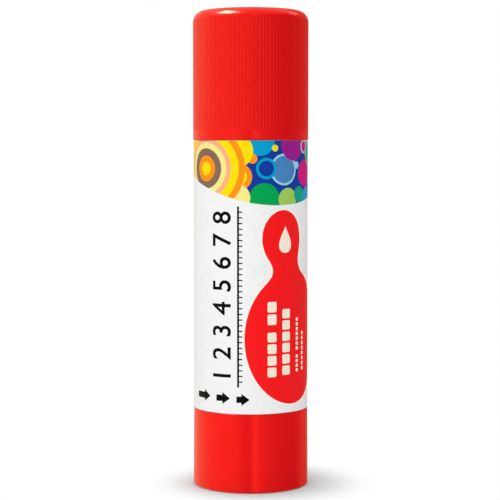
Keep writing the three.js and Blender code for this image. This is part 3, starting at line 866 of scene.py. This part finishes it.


# Studio: a white floor that shades off to plain white, and soft lamps. floorSize is in metres. The floor's
# glow darkens by a power of its openness: a painted contact shadow, beside the real shadow that the lamps
# throw on its matt part. Both fade out from shadowFrom to shadowTo mm round a place shadowMiddle mm to the
# right of the stick's axis, which paints the shadow further out on the right, the side away from the main
# light at the front left.
studio = Sizes(
    floorSize=4.0, floorDrop=0.02, floorColour="#A4B0B0", floorGlow=0.54, shadowMiddle=3.0,
    shadowFrom=12.0, shadowTo=26.0, contactReach=15.0, contactPower=1.4, contactSamples=8,
    worldDiffuse=0.53, underLight=0.35, underFrom=-0.9, underTo=-0.45)


# 1 for rays from the camera, from gloss and through clear things, and 0 for those that only light
def seenStraight(tree):
    path = addNode(tree, "LightPath").outputs
    seen = path["Is Camera Ray"]
    for ray in ("Is Glossy Ray", "Is Transmission Ray"):
        seen = addNode(tree, "Math", {0: seen, 1: path[ray]}, operation="MAXIMUM")
    return seen


# Strength 1 where the world is seen directly, mirrored or through, and the plain level where it only
# lights. Straight below, gloss sees it as dim as the floor is close to the stick.
def makeWorld():
    world = bpy.data.worlds.new("studio")
    bpy.context.scene.world = world
    world.use_nodes = True
    tree = world.node_tree
    tree.nodes.clear()
    way = addNode(tree, "SeparateXYZ", {0: addNode(tree, "TexCoord").outputs["Generated"]}).outputs[2]
    white = addNode(tree, "MapRange", {
        "Value": way, "From Min": studio.underFrom, "From Max": studio.underTo,
        "To Min": studio.underLight, "To Max": 1.0})
    strength = addNode(tree, "MapRange", {
        "Value": seenStraight(tree), "To Min": studio.worldDiffuse, "To Max": white})
    light = addNode(tree, "Background", {"Color": (1, 1, 1, 1), "Strength": strength})
    addNode(tree, "OutputWorld", {"Surface": light})


# The floor takes the stick's shadow close by, real on its matt part and painted into its glow, and is plain
# white further out
def makeFloor():
    half, z = studio.floorSize / 2, -studio.floorDrop * mm
    corners = [(-half, -half, z), (half, -half, z), (half, half, z), (-half, half, z)]
    mesh = bpy.data.meshes.new("floor")
    mesh.from_pydata(corners, [], [(0, 1, 2, 3)])
    floor = addObject("floor", mesh)
    floor.visible_glossy = False  # gloss shows the lamps and the white behind them
    material, tree = newMaterial("studio floor, matt white")
    mesh.materials.append(material)
    coords = addNode(tree, "TexCoord").outputs["Object"]
    middle = (studio.shadowMiddle * mm, 0, 0)
    away = addNode(tree, "VectorMath", {0: coords, 1: middle}, operation="DISTANCE").outputs["Value"]
    share = addNode(tree, "MapRange", {
        "Value": away, "From Min": studio.shadowFrom * mm, "From Max": studio.shadowTo * mm},
        interpolation_type="SMOOTHSTEP")
    matt = addNode(tree, "BsdfDiffuse", {"Color": linear(studio.floorColour)})
    # painted contact shadow: the floor's glow is dimmed where ambient occlusion finds the stick close by
    openness = addNode(tree, "AmbientOcclusion", {
        "Distance": studio.contactReach * mm}, samples=studio.contactSamples).outputs["AO"]
    deeper = addNode(tree, "Math", {0: openness, 1: studio.contactPower}, operation="POWER")
    level = addNode(tree, "Math", {0: deeper, 1: studio.floorGlow}, operation="MULTIPLY")
    glow = addNode(tree, "Emission", {"Strength": level})
    near = addNode(tree, "AddShader", {0: matt, 1: glow})
    white = addNode(tree, "Emission", {"Strength": 1.0})
    shareSeen = addNode(tree, "Math", {0: seenStraight(tree), 1: share}, operation="MULTIPLY")
    mixed = addNode(tree, "MixShader", {0: shareSeen, 1: near, 2: white})
    addNode(tree, "OutputMaterial", {"Surface": mixed})


# Softboxes round the stick: azimuth from the camera's side towards +X, elevation, distance and size in mm,
# radiance, and whether the lamp lights the surfaces or only shows in their gloss
softboxes = [
    ("key", -26, 7, 620, 420, 480, 2.5, True, False),
    ("fill", 108, 10, 700, 400, 500, 0.7, True, False),
    ("top", 0, 90, 600, 400, 400, 2.4, True, False),
    ("glint left", -72, 60, 543, 250, 170, 62.0, False, True),
    ("glint right", 120, 42, 560, 190, 120, 3.0, False, True)]


# The lamp faces the middle of the stick, and its power is radiance x pi x area
def addSoftbox(name, azimuth, elevation, distance, width, height, radiance, lights, shows):
    lamp = bpy.data.lights.new(name, "AREA")
    lamp.shape = "RECTANGLE"
    lamp.size, lamp.size_y = width * mm, height * mm
    lamp.energy = radiance * math.pi * width * height * mm * mm
    holder = addObject(name, lamp)
    a, e = math.radians(azimuth), math.radians(elevation)
    way = Vector((math.sin(a) * math.cos(e), -math.cos(a) * math.cos(e), math.sin(e)))
    holder.location = way * distance * mm + Vector((0, 0, capHigh[2] / 2 * mm))
    holder.rotation_euler = way.to_track_quat("Z", "Y").to_euler()
    holder.visible_camera = False
    holder.visible_diffuse = lights
    holder.visible_glossy = shows


# A round tent of paper that only gloss shows. Its light by azimuth gives the base what the photograph shows
# in it: a broad bright band at the left, a thin line in the middle and a dark line at the right. The paper
# is cream behind at the left and red behind at the right, so that the reds stay warm along their edges.
tent = Sizes(
    radius=640, low=-600, high=700, columns=360,
    light=[
        (-180, 0.65), (-143, 1.0), (-118, 1.12), (-95, 1.15), (-73, 1.05), (-54, 1.0), (-28, 0.82),
        (-16, 0.4), (-4, 0.15), (2, 0.25), (5, 1.35), (11, 1.35), (15, 0.7), (22, 0.5), (37, 0.27),
        (54, 0.12), (73, 0.0), (96, 0.0), (108, 0.2), (123, 0.65), (143, 0.45), (180, 0.65)],
    tint=[
        (-180, "#FFD8BC"), (-145, "#FFE8CC"), (-120, "#FFEAB0"), (-90, "#FFEAAC"), (-60, "#FFF6DC"),
        (-30, "#FFFFFF"), (60, "#FFFFFF"), (105, "#FF9C80"), (140, "#FF9C80"), (180, "#FFD8BC")])


# Two rings of points, with the light and the tint as attributes that follow the azimuth
def makeTent():
    azimuths = np.linspace(-180, 180, tent.columns, endpoint=False)
    light = np.interp(azimuths, *np.transpose(tent.light))
    tintAt = [azimuth for azimuth, _ in tent.tint]
    tints = np.array([linear(code) for _, code in tent.tint])
    colour = np.stack([np.interp(azimuths, tintAt, tints[:, k]) for k in range(4)], 1)
    turn = np.radians(azimuths)
    ring = np.stack([np.sin(turn), -np.cos(turn)], 1) * tent.radius
    levels = np.repeat([tent.low, tent.high], len(ring))
    points = np.column_stack([np.tile(ring, (2, 1)), levels])
    near = np.arange(len(ring))
    beside = np.roll(near, -1)
    faces = np.stack([near, beside, beside + len(ring), near + len(ring)], 1)
    mesh = bpy.data.meshes.new("tent")
    mesh.from_pydata((points * mm).tolist(), [], faces.tolist())
    mesh.attributes.new("light", "FLOAT", "POINT").data.foreach_set("value", np.tile(light, 2))
    tinted = mesh.attributes.new("tint", "FLOAT_COLOR", "POINT")
    tinted.data.foreach_set("color", np.tile(colour, (2, 1)).astype(np.float32).ravel())
    material, tree = newMaterial("paper tent")
    strength = addNode(tree, "Attribute", attribute_name="light").outputs["Fac"]
    tint = addNode(tree, "Attribute", attribute_name="tint").outputs["Color"]
    glow = addNode(tree, "Emission", {"Color": tint, "Strength": strength})
    addNode(tree, "OutputMaterial", {"Surface": glow})
    mesh.materials.append(material)
    paper = addObject("tent", mesh)
    paper.visible_camera = paper.visible_diffuse = paper.visible_shadow = paper.visible_transmission = False


# The camera stands a little above the middle of the stick and looks slightly down. frameWidth is the
# photograph's width in pixels, in which the focal length is given. nearest and farthest are in metres.
view = Sizes(
    distance=342.0, height=70.43, side=-0.15, down=3.4, focal=1602.5, frameWidth=500,
    sensor=36, nearest=0.01, farthest=20)


def makeCamera():
    lens = bpy.data.cameras.new("camera")
    lens.sensor_width = view.sensor
    lens.lens = view.focal / view.frameWidth * view.sensor
    lens.clip_start, lens.clip_end = view.nearest, view.farthest
    camera = addObject("camera", lens)
    camera.location = (view.side * mm, -view.distance * mm, view.height * mm)
    camera.rotation_euler = (math.radians(90 - view.down), 0, 0)
    bpy.context.scene.camera = camera


makeWorld()
makeFloor()
for softbox in softboxes:
    addSoftbox(*softbox)
makeTent()
makeCamera()
bpy.context.scene.view_settings.view_transform = "Standard"
print("studio done")
